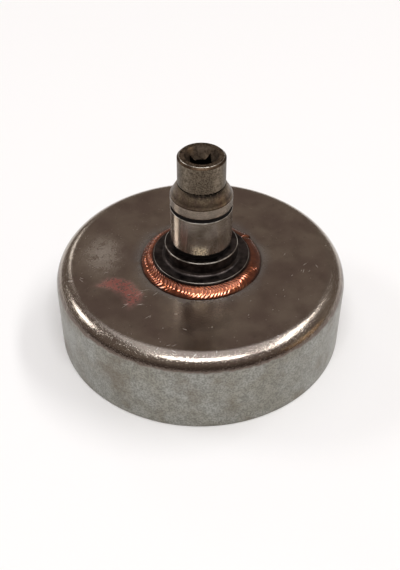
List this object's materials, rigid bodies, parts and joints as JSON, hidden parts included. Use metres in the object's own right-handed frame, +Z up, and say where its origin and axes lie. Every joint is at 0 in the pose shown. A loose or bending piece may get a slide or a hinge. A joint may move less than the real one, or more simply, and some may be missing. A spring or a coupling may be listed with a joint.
{
  "type": "clutch drum",
  "caption": "Brush-cutter clutch drum: a pressed steel cup with a turned hub brazed to its floor, with a bearing journal, a retaining-ring groove and a square drive socket.",
  "frame": {"origin": "centre of the cup's open rim, on the axis of the shaft; the part stands on the rim", "axes": "+Z up the shaft, towards the drive socket; X and Y are square to the socket's flats"},
  "size_m": [0.082, 0.082, 0.059],
  "materials": {
    "pressed_steel": "pressed and worn, semi-gloss top, matt side",
    "turned_steel": "turned, with a ground journal",
    "braze": "rippled copper-alloy braze as the torch left it"
  },
  "bodies": {
    "root": {"drum_cup": "pressed_steel", "hub_shaft": "turned_steel", "braze_bead": "braze"}
  },
  "joints": []
}
